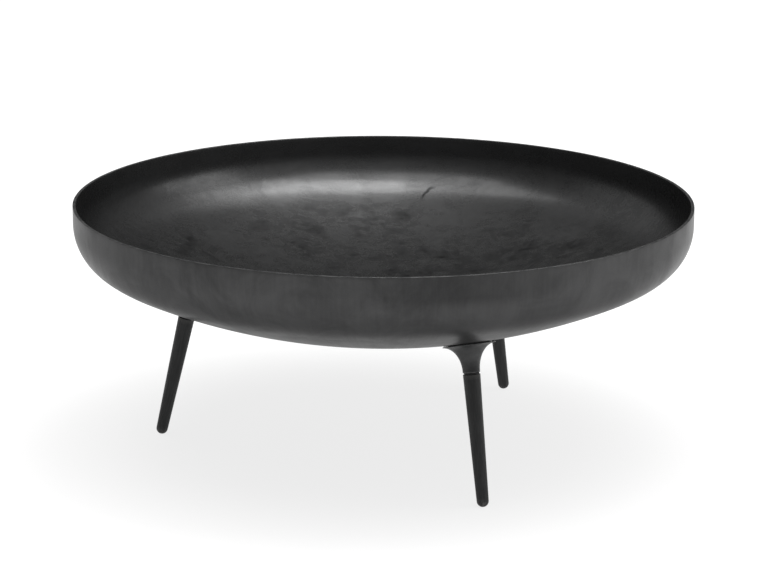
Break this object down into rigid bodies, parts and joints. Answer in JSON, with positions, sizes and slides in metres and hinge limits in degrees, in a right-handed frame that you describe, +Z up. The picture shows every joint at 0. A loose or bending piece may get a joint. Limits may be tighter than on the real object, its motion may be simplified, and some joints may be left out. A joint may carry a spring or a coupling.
{
  "type": "fire bowl",
  "caption": "Shallow round dished steel fire bowl with an upright rim, on splayed tapered legs that screw on under flared cast collars.",
  "frame": {"origin": "on the floor under the middle of the bowl, bottom centre of the bounding box", "axes": "+Z up along the bowl's own axis; one leg points to -Y, the others 120 degrees to either side"},
  "size_m": [1, 1, 0.4075],
  "materials": {
    "bowl_steel": "satin, blackened pressed steel with a faint cloudy scale",
    "collar_iron": "satin, blackened fine casting",
    "leg_black": "matte black",
    "fastener_steel": "oiled dark steel",
    "gasket": "matte compressed graphite fibre"
  },
  "bodies": {
    "fire_bowl": {"bowl": "bowl_steel", "front_weld_boss": "fastener_steel", "front_stud": "fastener_steel", "front_gasket": "gasket", "front_collar": "collar_iron", "right_weld_boss": "fastener_steel", "right_stud": "fastener_steel", "right_gasket": "gasket", "right_collar": "collar_iron", "left_weld_boss": "fastener_steel", "left_stud": "fastener_steel", "left_gasket": "gasket", "left_collar": "collar_iron"},
    "front_washer": {"front_washer": "fastener_steel"},
    "front_leg": {"front_leg": "leg_black"},
    "right_washer": {"right_washer": "fastener_steel"},
    "right_leg": {"right_leg": "leg_black"},
    "left_washer": {"left_washer": "fastener_steel"},
    "left_leg": {"left_leg": "leg_black"}
  },
  "joints": [
    {"name": "front_leg_advance", "type": "slide", "parent": "fire_bowl", "child": "front_washer", "axis": [0, -0.2204, -0.9754], "range_m": [0, 0.00525]},
    {"name": "front_leg_turn", "type": "hinge", "parent": "front_washer", "child": "front_leg", "pos_m": [0, -0.32358, 0.20117], "axis": [0, -0.2204, -0.9754], "range_deg": [0, 1080]},
    {"name": "right_leg_advance", "type": "slide", "parent": "fire_bowl", "child": "right_washer", "axis": [0.1908, 0.1102, -0.9754], "range_m": [0, 0.00525]},
    {"name": "right_leg_turn", "type": "hinge", "parent": "right_washer", "child": "right_leg", "pos_m": [0.28023, 0.16179, 0.20117], "axis": [0.1908, 0.1102, -0.9754], "range_deg": [0, 1080]},
    {"name": "left_leg_advance", "type": "slide", "parent": "fire_bowl", "child": "left_washer", "axis": [-0.1908, 0.1102, -0.9754], "range_m": [0, 0.00525]},
    {"name": "left_leg_turn", "type": "hinge", "parent": "left_washer", "child": "left_leg", "pos_m": [-0.28023, 0.16179, 0.20117], "axis": [-0.1908, 0.1102, -0.9754], "range_deg": [0, 1080]}
  ],
  "couplings": [
    {"joint": "front_leg_advance", "follows": "front_leg_turn", "m_per_rad": 0.00027852},
    {"joint": "right_leg_advance", "follows": "right_leg_turn", "m_per_rad": 0.00027852},
    {"joint": "left_leg_advance", "follows": "left_leg_turn", "m_per_rad": 0.00027852}
  ]
}
